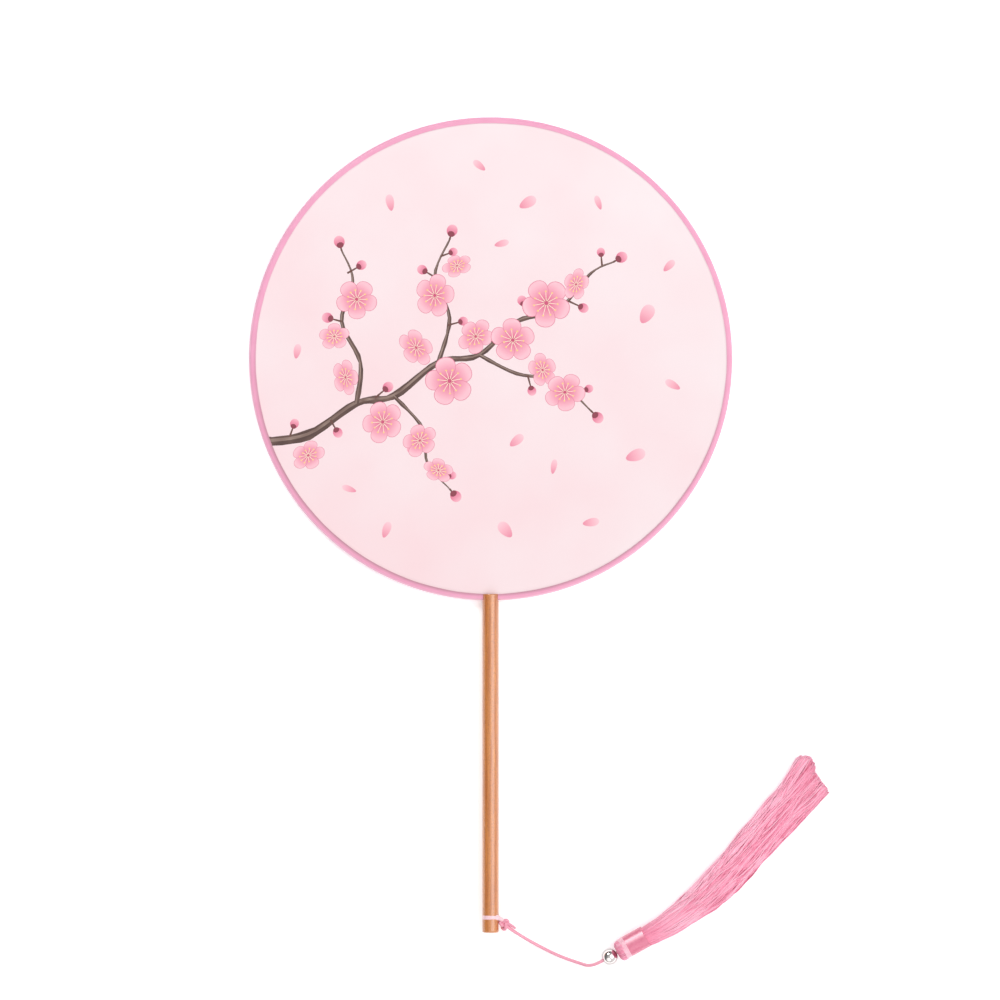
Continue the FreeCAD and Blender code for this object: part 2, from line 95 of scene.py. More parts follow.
# Front cloth: thin white silk, dyed in a soft pale-pink wash and printed with a plum bough,
# stretched like a drum skin over the hoop and glued under the ribbon.
disc_centre = Vector((0.0, 89.25 * mm, 3.1065 * mm))
disc_tilt = math.radians(-0.5839)
disc_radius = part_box("edge_tape")[1].x
cloth_inset = 2.0 * mm
cloth_radius = disc_radius - cloth_inset
cloth_top = 1.35 * mm
cloth_thickness = 0.25 * mm


# Selects one piece alone.
def pick(piece):
    bpy.ops.object.select_all(action="DESELECT")
    piece.select_set(True)
    bpy.context.view_layer.objects.active = piece


# Takes a piece that was made flat about the disc's middle to its place, tilted as the fan lies.
def lay_down(piece):
    piece.location = disc_centre
    piece.rotation_euler.x = disc_tilt
    pick(piece)
    bpy.ops.object.transform_apply(location=True, rotation=True, scale=True)


# Adds a modifier with its settings and applies it.
def apply_modifier(piece, kind, **settings):
    pick(piece)
    step = piece.modifiers.new(kind.lower(), kind)
    for name, value in settings.items():
        setattr(step, name, value)
    bpy.ops.object.modifier_apply(modifier=step.name)


# A colour between two others.
def blend(low, high, share):
    share = max(0.0, min(1.0, share))
    return tuple(a + (b - a) * share for a, b in zip(low, high))


# A paint that runs from one colour to the next, as a brush does.
def shades(stops):
    marks = [(at, linear(code)) for at, code in stops]

    def tone(share):
        for (at, low), (after, high) in zip(marks, marks[1:]):
            if share <= after:
                return blend(low, high, (share - at) / (after - at))
        return tuple(marks[-1][1])

    return tone


# A smooth line through a row of points.
def flowing(points, steps):
    line = []
    ends = [points[0]] + points + [points[-1]]
    for a, b, c, d in zip(ends, ends[1:], ends[2:], ends[3:]):
        for step in range(steps):
            t = step / steps
            line.append(tuple(
                0.5 * (2 * q + (r - p) * t + (2 * p - 5 * q + 4 * r - s) * t * t
                       + (3 * q - p - 3 * r + s) * t ** 3)
                for p, q, r, s in zip(a, b, c, d)))
    return line + [points[-1]]


# Even turns round a circle.
def angles(count):
    return [math.tau * step / count for step in range(count)]


# Every printed shape is an outline in millimetres and a paint, which gives the colour at a place.
printed = []


def ink(outline, paint):
    printed.append((outline, paint))


# The bough and its twigs, as points of the middle line with the width there, in millimetres
# from the middle of the disc.
def bough(points):
    line = flowing(points, 6)
    left, right, glint = [], [], []
    for number, (x, y, width) in enumerate(line):
        before, after = line[max(number - 1, 0)], line[min(number + 1, len(line) - 1)]
        along = Vector((after[0] - before[0], after[1] - before[1])).normalized()
        across = Vector((-along.y, along.x))
        knob = 1 + 0.45 * noise.noise(Vector((x / 5, y / 5, 1.0)))
        left.append(Vector((x, y)) + across * width / 2 * knob)
        right.append(Vector((x, y)) - across * width / 2 * knob)
        glint.append((Vector((x, y)) + across * width * 0.12, across * width * 0.16))
    bark = shades([(0.0, "#4a3836"), (0.5, "#5f4a45"), (1.0, "#7d655c")])
    ink(right + left[::-1], lambda x, y: bark(0.5 + 0.6 * noise.noise(Vector((x / 4, y / 4, 3.0)))))
    light = shades([(0.0, "#6d554e"), (1.0, "#a08a80")])
    ink([p - q for p, q in glint] + [p + q for p, q in glint[::-1]],
        lambda x, y: light(0.5 + 0.8 * noise.noise(Vector((x / 3, y / 3, 7.0)))))


bough([(-124, -45, 5.6), (-98, -41, 4.8), (-72, -24, 4.4), (-52, -20, 3.8), (-28, -2, 3.4),
       (-6, 2, 2.8), (14, 20, 2.4), (36, 26, 1.9), (54, 46, 1.4), (66, 52, 0.8)])
bough([(-72, -24, 3.0), (-70, -2, 2.4), (-80, 20, 2.0), (-74, 42, 1.5), (-80, 58, 0.8)])
bough([(-28, -2, 2.6), (-22, 22, 2.0), (-30, 44, 1.6), (-22, 64, 0.8)])
bough([(-6, 2, 2.2), (14, -8, 1.8), (36, -12, 1.5), (54, -28, 0.8)])
bough([(-52, -20, 2.2), (-36, -38, 1.7), (-34, -56, 1.3), (-22, -70, 0.7)])


# A blossom: five round petals laid one over the next, a rosy eye and a ring of stamens. A petal's
# sizes are shares of the blossom's reach.
petal_middle, petal_length, petal_width = 0.55, 0.43, 0.47
stamens = 11


def blossom(x, y, across, turn, lean, toward):
    reach = across / 2
    facing = Matrix.Rotation(math.radians(toward), 2) @ Matrix.Diagonal((1.0, lean)) @ Matrix.Rotation(
        math.radians(turn - toward), 2)
    back = facing.inverted()
    middle = Vector((x, y))
    wash = shades([(0.0, "#cd587d"), (0.28, "#e3859f"), (0.62, "#eea8b9"), (0.9, "#f5c6d0"),
                   (1.0, "#f0b4c1")])
    rim = tuple(linear("#dc7f98"))
    for number in (0, 2, 4, 1, 3):
        spoke = Matrix.Rotation(math.radians(72 * number), 2)
        for size, paint in ((1.0, lambda px, py: rim),
                            (0.94, lambda px, py: wash((back @ (Vector((px, py)) - middle)).length / reach)),
                            (0.62, lambda px, py: wash((back @ (Vector((px, py)) - middle)).length / reach))):
            edge = []
            for t in angles(20):
                petal = Vector((math.cos(t) * petal_length * size + petal_middle,
                                math.sin(t) * petal_width * size * (0.86 + 0.14 * math.cos(t))))
                edge.append(middle + facing @ (spoke @ (petal * reach)))
            ink(edge, paint)
    eye = tuple(linear("#c9587a"))
    ink([middle + facing @ Vector((math.cos(t), math.sin(t))) * reach * 0.15 for t in angles(12)],
        lambda px, py: eye)
    thread, dust = tuple(linear("#fbeed0")), tuple(linear("#f3d083"))
    root = reach * 0.08
    for number in range(stamens):
        way = Matrix.Rotation(math.tau * (number + 0.3) / stamens, 2)
        length = reach * (0.46 + 0.1 * noise.noise(Vector((x, y, number * 3.1))))
        ink([middle + facing @ (way @ Vector(p)) for p in (
            (root, -0.16), (length, -0.12), (length, 0.12), (root, 0.16))], lambda px, py: thread)
        tip = way @ Vector((length, 0))
        ink([middle + facing @ (tip + Vector((math.cos(t), math.sin(t))) * 0.5) for t in angles(8)],
            lambda px, py: dust)


# A bud: a rosy ball in a dark cup, on a short stalk that grows from a point of the twig.
def bud(x, y, turn, stalk, size):
    way = Matrix.Rotation(math.radians(turn), 2)
    root = Vector((x, y))
    middle = root + way @ Vector((stalk + size, 0.0))
    wash = shades([(0.0, "#cf5f80"), (0.5, "#e58ba3"), (1.0, "#f2b4c2")])
    stem, cup = tuple(linear("#6b4b45")), tuple(linear("#8c4653"))
    top = stalk + size * 0.5
    ink([root + way @ Vector(p) for p in ((0, -0.55), (top, -0.35), (top, 0.35), (0, 0.55))],
        lambda px, py: stem)
    for share in (1.0, 0.55):
        ink([middle + way @ Vector((math.cos(t) * size * share, math.sin(t) * size * 0.92 * share))
             for t in angles(16)],
            lambda px, py: wash(0.5 + 0.5 * (way.inverted() @ (Vector((px, py)) - middle)).x / size))
    ink([middle + way @ Vector((-0.62 * size + math.cos(t) * size * 0.5, math.sin(t) * size * 0.62))
         for t in angles(10)], lambda px, py: cup)


# A fallen petal: one round petal, paler at its tip.
def loose_petal(x, y, length, turn, lean):
    way = Matrix.Rotation(math.radians(turn), 2)
    middle = Vector((x, y))
    wash = shades([(0.0, "#e58ba2"), (0.5, "#efadbc"), (1.0, "#f5c8d1")])
    for share in (1.0, 0.6):
        edge = []
        for t in angles(18):
            edge.append(middle + way @ Vector((
                math.cos(t) * length / 2 * share,
                math.sin(t) * length / 2 * lean * share * (0.8 + 0.2 * math.cos(t)))))
        ink(edge, lambda px, py: wash(0.5 + (way.inverted() @ (Vector((px, py)) - middle)).x / length))


for spray in ((-108, -42, 70, 5, 2.6), (-86, -33, -60, 5, 2.8), (-62, -21, 40, 6, 3.0),
              (-80, 20, 165, 5, 3.0), (-77, 46, 30, 6, 2.8), (-80, 58, 105, 2, 3.2),
              (-30, 44, 150, 5, 2.8), (-27, 55, 20, 5, 2.4), (-22, 64, 75, 2, 3.2),
              (-23, 18, 15, 6, 2.6), (20, 23, 110, 6, 2.8), (42, 31, -25, 6, 2.8),
              (60, 50, 95, 5, 2.4), (66, 52, 30, 2, 3.2), (20, -9, -75, 6, 2.6),
              (45, -19, 20, 6, 2.4), (54, -28, -45, 2, 3.2), (-34, -50, 170, 6, 2.6),
              (-28, -64, 10, 5, 2.4), (-22, -70, -50, 2, 3.2), (2, 8, 130, 5, 2.4)):
    bud(*spray)
for flower in ((-98, -52, 19, 10, 0.8, 30), (-58, -34, 24, 40, 0.9, 60), (-78, -10, 20, 75, 0.7, 100),
               (-84, 12, 17, 20, 0.85, 10), (-72, 32, 23, 55, 0.95, 0), (-40, 6, 22, 15, 0.75, 130),
               (-22, -12, 27, 33, 1.0, 0), (-8, 12, 21, 60, 0.85, 45), (-30, 34, 24, 5, 0.9, 80),
               (-18, 50, 17, 44, 0.7, 20), (12, 10, 25, 20, 0.95, 150), (30, 30, 27, 50, 1.0, 0),
               (46, 40, 18, 8, 0.75, 70), (28, -6, 19, 28, 0.8, 110), (40, -18, 23, 62, 0.9, 20),
               (-38, -44, 20, 35, 0.85, 40), (-28, -60, 17, 12, 0.75, 160)):
    blossom(*flower)
for drift in ((20, 84, 10, 30, 0.7), (58, 84, 8, 110, 0.5), (84, 24, 11, 60, 0.8), (98, -14, 9, 150, 0.55),
              (78, -52, 11, 20, 0.7), (34, -58, 8, 80, 0.5), (8, -92, 10, 130, 0.75), (54, -88, 9, 10, 0.6),
              (-56, -92, 9, 70, 0.6), (-76, -70, 8, 160, 0.5), (6, 62, 8, 15, 0.55), (96, 50, 8, 45, 0.6),
              (-54, 84, 9, 100, 0.6), (14, -44, 9, 40, 0.65), (-6, 104, 8, 140, 0.55), (-104, 4, 8, 80, 0.6)):
    loose_petal(*drift)

# The sheet is cut into the shapes of the print, so each shape's edge is as clean as an ink line.
edge_steps = 240
sheet_edge = [Vector((math.cos(t), math.sin(t))) * cloth_radius / mm for t in angles(edge_steps)]
marks, shapes = list(sheet_edge), [list(range(edge_steps))]
for outline, paint in printed:
    shapes.append(list(range(len(marks), len(marks) + len(outline))))
    marks.extend(Vector(p) for p in outline)
spots, _, faces, _, _, owners = delaunay_2d_cdt(marks, [], shapes, 1, 1e-5)
on_sheet = [(face, max(owner)) for face, owner in zip(faces, owners) if 0 in owner]
sheet_mesh = bpy.data.meshes.new("front_cloth")
sheet_mesh.from_pydata([(p.x * mm, p.y * mm, cloth_top) for p in spots], [], [face for face, top in on_sheet])
dye = sheet_mesh.color_attributes.new("ink", "FLOAT_COLOR", "CORNER")
for face, (_, top) in zip(sheet_mesh.polygons, on_sheet):
    for corner in face.loop_indices:
        spot = spots[sheet_mesh.loops[corner].vertex_index]
        if top:
            dye.data[corner].color = printed[top - 1][1](spot.x, spot.y)
        else:
            dye.data[corner].color = (1.0, 1.0, 1.0, 0.0)
front_cloth = bpy.data.objects.new("front_cloth", sheet_mesh)
bpy.context.collection.objects.link(front_cloth)
apply_modifier(front_cloth, "SOLIDIFY", thickness=cloth_thickness, offset=-1.0)
lay_down(front_cloth)

# Printed silk: a soft satin glow and a fine plain weave. The real threads lie about 0.12 mm
# apart, too fine to show, so they are drawn 1 mm apart: a wave is 0.31 of its scale long.
printed_silk, tree, shader = new_finish("printed_silk")
place = node(tree, "TexCoord").outputs["Object"]
cloud = node(tree, "TexNoise", {"Scale": 1 / (55 * mm), "Detail": 2.5, "Roughness": 0.5}, {"Vector": place})
turned = node(tree, "Mapping", {
    "Location": (0.3, -0.15, 0.0), "Rotation": (0.0, 0.0, math.radians(42)),
    "Scale": (1 / (560 * mm),) * 3}, {"Vector": place})
fall = node(tree, "SeparateXYZ", links={"Vector": turned.outputs["Vector"]})
wash = node(tree, "Math", {"operation": "ADD"}, {0: cloud.outputs["Fac"], 1: fall.outputs["Y"]})
tint = node(tree, "ValToRGB", links={"Fac": wash.outputs["Value"]})
tint.color_ramp.elements[0].color = linear("#efd0d4")
tint.color_ramp.elements[1].color = linear("#efe4e6")
dyed = node(tree, "Attribute", {"attribute_name": "ink"})
colour = node(tree, "Mix", {"data_type": "RGBA"}, {
    0: dyed.outputs["Alpha"], 6: tint.outputs["Color"], 7: dyed.outputs["Color"]})
threads = {"Scale": 1 / (3.2 * mm), "Distortion": 0.4}
weft = node(tree, "TexWave", {"bands_direction": "X", **threads}, {"Vector": place})
warp = node(tree, "TexWave", {"bands_direction": "Y", **threads}, {"Vector": place})
weave = node(tree, "Math", {"operation": "ADD"}, {0: weft.outputs["Fac"], 1: warp.outputs["Fac"]})
raised = node(tree, "Bump", {"Strength": 0.06, "Distance": 0.05 * mm}, {"Height": weave.outputs["Value"]})
gloss = node(tree, "MapRange", {"From Max": 2.0, "To Min": 0.5, "To Max": 0.66},
             {"Value": weave.outputs["Value"]})
tree.links.new(colour.outputs[2], shader.inputs["Base Color"])
tree.links.new(gloss.outputs["Result"], shader.inputs["Roughness"])
tree.links.new(raised.outputs["Normal"], shader.inputs["Normal"])
shader.inputs["Specular IOR Level"].default_value = 0.25
shader.inputs["Sheen Weight"].default_value = 0.08
front_cloth.data.materials.append(printed_silk)
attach(front_cloth, "fan")
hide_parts("front_face")


# Back cloth: a second circle of the same silk with the pale wash and no print, glued to the
# back of the hoop.
bpy.ops.mesh.primitive_circle_add(
    vertices=edge_steps, radius=cloth_radius, fill_type="NGON", location=(0, 0, -cloth_top))
back_cloth = bpy.context.object
back_cloth.name = "back_cloth"
bpy.ops.object.mode_set(mode="EDIT")
bpy.ops.mesh.select_all(action="SELECT")
inner_rings, inset_width = 4, 24 * mm
for ring in range(inner_rings):
    bpy.ops.mesh.inset(thickness=inset_width)
bpy.ops.mesh.poke()
bpy.ops.object.mode_set(mode="OBJECT")
bpy.ops.object.transform_apply(location=True, rotation=True, scale=True)
apply_modifier(back_cloth, "SOLIDIFY", thickness=cloth_thickness, offset=1.0)
lay_down(back_cloth)

# Plain silk: the same cloth, wash and weave as the front, without the print's inks.
plain_silk = printed_silk.copy()
plain_silk.name = "plain_silk"
tree = plain_silk.node_tree
for kind in ("ATTRIBUTE", "MIX"):
    tree.nodes.remove([n for n in tree.nodes if n.type == kind][0])
wash_ramp = [n for n in tree.nodes if n.type == "VALTORGB"][0]
tree.links.new(wash_ramp.outputs["Color"], tree.nodes["Principled BSDF"].inputs["Base Color"])
back_cloth.data.materials.append(plain_silk)
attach(back_cloth, "fan")
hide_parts("back_face")


# Edging: a pink satin ribbon folded lengthwise round the rim and glued down over the edges of
# both cloths. Its two ends meet the handle.
ribbon_half = 1.76 * mm
ribbon_thickness = 0.35 * mm
ribbon_width = 3.5 * mm
prong_room = 3.2 * mm
ribbon_gap = math.asin(prong_room / disc_radius)
fold_radius = disc_radius - ribbon_half
lip_steps = 3
bpy.ops.mesh.primitive_circle_add(
    vertices=32, radius=ribbon_half, location=(fold_radius, 0, 0), rotation=(math.pi / 2, 0, 0))
ribbon = bpy.context.object
ribbon.name = "ribbon"
bpy.ops.object.transform_apply(location=True, rotation=True, scale=True)
bpy.ops.object.mode_set(mode="EDIT")
bpy.ops.mesh.select_all(action="DESELECT")
bpy.ops.object.mode_set(mode="OBJECT")
for spot in ribbon.data.vertices:
    spot.select = spot.co.x < fold_radius - 0.01 * mm
bpy.ops.object.mode_set(mode="EDIT")
bpy.ops.mesh.delete(type="VERT")
for side in (1, -1):
    for step in range(lip_steps):
        bpy.ops.object.mode_set(mode="OBJECT")
        ends = [s for s in ribbon.data.vertices if s.co.z * side > 0]
        last = min(ends, key=lambda s: s.co.x - abs(s.co.z))
        for spot in ribbon.data.vertices:
            spot.select = spot.index == last.index
        bpy.ops.object.mode_set(mode="EDIT")
        bpy.ops.mesh.extrude_region_move(TRANSFORM_OT_translate={
            "value": (-(ribbon_width - ribbon_half) / lip_steps, 0, 0)})
bpy.ops.mesh.select_all(action="SELECT")
bpy.ops.mesh.spin(steps=480, angle=math.tau - 2 * ribbon_gap, center=(0, 0, 0), axis=(0, 0, 1))
bpy.ops.mesh.select_all(action="SELECT")
bpy.ops.mesh.remove_doubles(threshold=0.005 * mm)
bpy.ops.mesh.normals_make_consistent(inside=False)
bpy.ops.object.mode_set(mode="OBJECT")
outermost = max(ribbon.data.polygons, key=lambda f: f.center.xy.length)
if outermost.normal.xy.dot(outermost.center.xy) < 0:
    ribbon.data.flip_normals()
ribbon.rotation_euler.z = -math.pi / 2 - ribbon_gap
pick(ribbon)
bpy.ops.object.transform_apply(location=True, rotation=True, scale=True)

# The glued fold puckers a little along both lips, where the ribbon is eased round the curve, and
# it covers more of the cloth on one side of the disc than on the other. Three numbers say how fine
# the puckers and the slow waves are round the rim, and how fast both change over its edge.
pucker_size, pucker_at_lip = 0.02, 0.1
puckers, slow_waves, over_edge = 46, 9, 300
narrow_side = math.radians(25)
for spot in ribbon.data.vertices:
    turn = math.atan2(spot.co.y, spot.co.x)
    lip = max(0.0, 1.0 - (spot.co.xy.length - (disc_radius - ribbon_width)) / ribbon_width)
    pucker = noise.noise(Vector((math.cos(turn) * puckers, math.sin(turn) * puckers,
                                 spot.co.z * over_edge)))
    spot.co += spot.normal * pucker * (pucker_size + pucker_at_lip * lip) * mm
    spot.co.xy *= 1 + lip * (0.0014 + 0.0034 * math.cos(turn - narrow_side))
    sway = noise.noise(Vector((math.cos(turn) * slow_waves, math.sin(turn) * slow_waves,
                               spot.co.z * over_edge)))
    spot.co.xy *= 1 + 0.0012 * lip * sway
apply_modifier(ribbon, "SOLIDIFY", thickness=ribbon_thickness, offset=-1.0)
pick(ribbon)
bpy.ops.object.shade_smooth_by_angle(angle=math.radians(50))
lay_down(ribbon)

# Satin ribbon: fine warp floats run along it and give a soft streak of light. They are drawn
# 0.3 mm apart, about twice the real spacing. A painted shadow darkens the inner lip on the lower
# half, and a painted highlight makes the fold paler along the lower left.
satin_ribbon, tree, shader = new_finish("satin_ribbon")
place = node(tree, "TexCoord").outputs["Object"]
centred = node(tree, "Mapping", {"Location": -disc_centre, "Scale": (1, 1, 0)}, {"Vector": place})
reach = node(tree, "VectorMath", {"operation": "LENGTH"}, {"Vector": centred.outputs["Vector"]})
drift = node(tree, "TexNoise", {"Scale": 1 / (9 * mm), "Detail": 3.0}, {"Vector": place})
tint = node(tree, "ValToRGB", links={"Fac": drift.outputs["Fac"]})
tint.color_ramp.elements[0].color = linear("#e697b8")
tint.color_ramp.elements[1].color = linear("#eea8c5")
# Painted shadow: the inner lip is darkened to mauve on the lower half of the disc.
lip = node(tree, "MapRange", {"From Min": disc_radius - 1.7 * mm, "From Max": disc_radius - ribbon_width},
           {"Value": reach.outputs["Value"]})
split = node(tree, "SeparateXYZ", links={"Vector": centred.outputs["Vector"]})
low = node(tree, "MapRange", {"From Min": 30 * mm, "From Max": -50 * mm, "To Max": 0.9},
           {"Value": split.outputs["Y"]})
painted_lip_shadow = node(tree, "Math", {"operation": "MULTIPLY"}, {0: lip.outputs["Result"], 1: low.outputs["Result"]})
colour = node(tree, "Mix", {"data_type": "RGBA", 7: linear("#b5818f")}, {
    0: painted_lip_shadow.outputs["Value"], 6: tint.outputs["Color"]})
# Painted highlight: the outer fold is made paler along the lower left.
fold = node(tree, "MapRange", {
    "From Min": disc_radius - 1.2 * mm, "From Max": disc_radius - 0.1 * mm, "To Max": 0.65},
    {"Value": reach.outputs["Value"]})
below = node(tree, "VectorMath", {"operation": "DOT_PRODUCT", 1: (-0.6, -0.8, 0.0)},
             {0: centred.outputs["Vector"]})
side = node(tree, "MapRange", {"From Min": -60 * mm, "From Max": 50 * mm}, {"Value": below.outputs["Value"]})
painted_fold_highlight = node(tree, "Math", {"operation": "MULTIPLY"}, {0: fold.outputs["Result"], 1: side.outputs["Result"]})
fold_highlight_colour = node(tree, "Mix", {"data_type": "RGBA", 7: linear("#f9d3e2")}, {
    0: painted_fold_highlight.outputs["Value"], 6: colour.outputs[2]})
floats = node(tree, "Math", {"operation": "MULTIPLY", 1: math.tau / (0.3 * mm)}, {0: reach.outputs["Value"]})
ridges = node(tree, "Math", {"operation": "SINE"}, {0: floats.outputs["Value"]})
raised = node(tree, "Bump", {"Strength": 0.15, "Distance": 0.05 * mm}, {"Height": ridges.outputs["Value"]})
gloss = node(tree, "MapRange", {"To Min": 0.32, "To Max": 0.5}, {"Value": drift.outputs["Fac"]})
tree.links.new(fold_highlight_colour.outputs[2], shader.inputs["Base Color"])
tree.links.new(gloss.outputs["Result"], shader.inputs["Roughness"])
tree.links.new(raised.outputs["Normal"], shader.inputs["Normal"])
shader.inputs["Sheen Weight"].default_value = 0.15
ribbon.data.materials.append(satin_ribbon)
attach(ribbon, "fan")
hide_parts("edge_tape")


# Handle: a turned rod of close-grained hardwood, slotted at the top so that two prongs straddle
# the rim, with a shallow groove for the cord, then stained light brown and varnished.
varnished_beech, tree, shader = new_finish("varnished_beech")
place = node(tree, "TexCoord").outputs["Object"]
along = node(tree, "Mapping", {"Scale": (1 / (1.1 * mm), 1 / (30 * mm), 1 / (1.1 * mm))}, {"Vector": place})
grain = node(tree, "TexNoise", {"Scale": 1.0, "Detail": 4.0, "Roughness": 0.6},
             {"Vector": along.outputs["Vector"]})
tint = node(tree, "ValToRGB", links={"Fac": grain.outputs["Fac"]})
tint.color_ramp.elements[0].position = 0.3
tint.color_ramp.elements[0].color = linear("#b8601f")
tint.color_ramp.elements[1].position = 0.7
tint.color_ramp.elements[1].color = linear("#df8e3e")
# Beech flecks: short dark rays about 0.5 mm wide and 1 mm long.
fleck_place = node(tree, "Mapping", {"Scale": (1 / (0.5 * mm), 1 / (0.9 * mm), 1 / (0.5 * mm))},
                   {"Vector": place})
flecks = node(tree, "TexNoise", {"Scale": 1.0, "Detail": 2.0, "Roughness": 0.6},
              {"Vector": fleck_place.outputs["Vector"]})
fleck = node(tree, "MapRange", {"From Min": 0.5, "From Max": 0.7, "To Max": 0.75},
             {"Value": flecks.outputs["Fac"]})
colour = node(tree, "Mix", {"data_type": "RGBA", 7: linear("#a25726")}, {
    0: fleck.outputs["Result"], 6: tint.outputs["Color"]})
raised = node(tree, "Bump", {"Strength": 0.12, "Distance": 0.05 * mm}, {"Height": flecks.outputs["Fac"]})
gloss = node(tree, "MapRange", {"To Min": 0.3, "To Max": 0.42}, {"Value": grain.outputs["Fac"]})
tree.links.new(colour.outputs[2], shader.inputs["Base Color"])
tree.links.new(gloss.outputs["Result"], shader.inputs["Roughness"])
tree.links.new(raised.outputs["Normal"], shader.inputs["Normal"])
shader.inputs["Specular IOR Level"].default_value = 0.3
shader.inputs["Coat Weight"].default_value = 1.0
shader.inputs["Coat IOR"].default_value = 2.0
shader.inputs["Coat Roughness"].default_value = 0.3
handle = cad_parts["handle"]
handle.data.materials.clear()
handle.data.materials.append(varnished_beech)


# Cord loop and knot: a pink satin cord, tied round the groove above the butt with one tight
# overhand knot at the right of the handle.
cord_diameter = 1.8 * mm
loop_radius = 4.1 * mm
loop_place = -300.3 * mm
knot_reach = 7.6 * mm
knot_drop = 2.2 * mm
ring_start = math.acos(loop_radius / knot_reach)
ring_corners = 6
ring_step = (math.tau - 2 * ring_start) / ring_corners


# A round cord along a list of points, as a curve.
def cord_tube(name, points, order, closed):
    line = bpy.data.curves.new(name, "CURVE")
    line.dimensions = "3D"
    line.resolution_u = 8
    line.bevel_depth = cord_diameter / 2
    line.bevel_resolution = 3
    line.use_fill_caps = True
    run = line.splines.new("NURBS")
    run.points.add(len(points) - 1)
    for spot, place in zip(run.points, points):
        spot.co = (*place, 1.0)
    run.order_u = order
    run.use_cyclic_u = closed
    run.use_endpoint_u = not closed
    tube = bpy.data.objects.new(name, line)
    bpy.context.collection.objects.link(tube)
    return tube


# Turns a curve into a smooth mesh.
def make_mesh(piece):
    pick(piece)
    bpy.ops.object.convert(target="MESH")
    bpy.ops.object.shade_smooth()


# The ring's two ends leave the handle side by side and close in on the knot.
end_room, end_rise = 0.4 * mm, 0.4 * mm
bend_room, bend_rise = 2.0 * mm, 1.3 * mm
ring = [(knot_reach - end_room, loop_place - knot_drop, end_rise),
        (knot_reach - bend_room, loop_place, bend_rise)]
for number in range(ring_corners):
    turn = ring_start + ring_step * (number + 0.5)
    corner = loop_radius / math.cos(ring_step / 2)
    ring.append((math.cos(turn) * corner, loop_place, math.sin(turn) * corner))
ring += [(knot_reach - bend_room, loop_place, -bend_rise),
         (knot_reach - end_room, loop_place - knot_drop, -end_rise)]
loop = cord_tube("cord_ring", ring, 3, False)
make_mesh(loop)
# Pulled tight, the cord is pressed flat in the groove, just proud of the wood.
groove_floor = 3.15 * mm
free_room, press_run = 1.2 * mm, 3 * mm
squash, widening = 0.8, 0.75
for spot in loop.data.vertices:
    pressed = max(0.0, min(1.0, (knot_reach - free_room - spot.co.x) / press_run))
    away = spot.co.xz.length
    flat = groove_floor + (away - loop_radius + cord_diameter / 2) * squash
    spot.co.xz *= 1 + pressed * (flat / away - 1)
    spot.co.y = loop_place + (spot.co.y - loop_place) * (1 + widening * pressed)
lay_down(loop)

# The knot's line is three lobes that pass over and under each other, drawn up small.
lobe_width, lobe_length, lobe_height = 0.78, 1.0, 1.15
twist = []
for t in angles(30):
    twist.append((knot_reach - 0.3 * mm + (math.sin(t) + 2 * math.sin(2 * t)) * lobe_width * mm,
                  loop_place - knot_drop - 1.3 * mm + (math.cos(t) - 2 * math.cos(2 * t)) * lobe_length * mm,
                  -math.sin(3 * t) * lobe_height * mm))
knot = cord_tube("overhand_knot", twist, 4, True)
make_mesh(knot)
lay_down(knot)
cut_end = cord_tube("cut_end", [Vector(p) * mm for p in (
    (7.8, -214.0, 6.6), (10.6, -214.9, 7.0), (12.2, -216.0, 7.4), (13.6, -217.0, 7.6))], 3, False)
for spot, share in zip(cut_end.data.splines[0].points, (1.0, 1.0, 0.85, 0.6)):
    spot.radius = share
make_mesh(cut_end)
tail = cord_tube("knot_tail", [Vector(p) * mm for p in (
    (8.0, -214.8, 6.7), (9.0, -215.9, 6.5), (10.36, -216.98, 6.19))], 3, False)
make_mesh(tail)


# The cord turns on a rounded bend where it leaves the knot, and again where it enters the bead.
def round_bend(place):
    bpy.ops.mesh.primitive_uv_sphere_add(segments=20, ring_count=12, radius=cord_diameter / 2, location=place)
    bpy.ops.object.shade_smooth()
    bpy.ops.object.transform_apply(location=True, rotation=True, scale=True)
    return bpy.context.object


bend = round_bend(Vector((10.409, -217.016, 6.189)) * mm)
pick(knot)
for piece in (tail, cut_end, bend):
    piece.select_set(True)
bpy.ops.object.join()

# Satin cord: smooth rayon floats wrap a cotton core, with fine lines along it and a soft sheen.
satin_cord, tree, shader = new_finish("satin_cord")
place = node(tree, "TexCoord").outputs["UV"]
wrap = node(tree, "Mapping", {"Scale": (30.0, 22.0, 1.0)}, {"Vector": place})
fibres = node(tree, "TexNoise", {"Scale": 1.0, "Detail": 3.0}, {"Vector": wrap.outputs["Vector"]})
tint = node(tree, "ValToRGB", links={"Fac": fibres.outputs["Fac"]})
tint.color_ramp.elements[0].position = 0.3
tint.color_ramp.elements[0].color = linear("#e4849f")
tint.color_ramp.elements[1].position = 0.7
tint.color_ramp.elements[1].color = linear("#f2a8bc")
raised = node(tree, "Bump", {"Strength": 0.2, "Distance": 0.05 * mm}, {"Height": fibres.outputs["Fac"]})
gloss = node(tree, "MapRange", {"To Min": 0.35, "To Max": 0.5}, {"Value": fibres.outputs["Fac"]})
tree.links.new(tint.outputs["Color"], shader.inputs["Base Color"])
tree.links.new(gloss.outputs["Result"], shader.inputs["Roughness"])
tree.links.new(raised.outputs["Normal"], shader.inputs["Normal"])
shader.inputs["Specular IOR Level"].default_value = 0.9
shader.inputs["Sheen Weight"].default_value = 0.4
# The ring is painted paler than the slack cord, as a painted highlight on its top.
highlit_cord = satin_cord.copy()
highlit_cord.name = "highlit_satin_cord"
ramp = [n for n in highlit_cord.node_tree.nodes if n.type == "VALTORGB"][0].color_ramp
ramp.elements[0].color = linear("#f1bcc7")
ramp.elements[1].color = linear("#fbdae0")
for piece, solid, finish in ((loop, "cord_loop", highlit_cord), (knot, "loop_knot", satin_cord)):
    piece.data.materials.append(finish)
    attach(piece, "fan")
    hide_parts(solid)


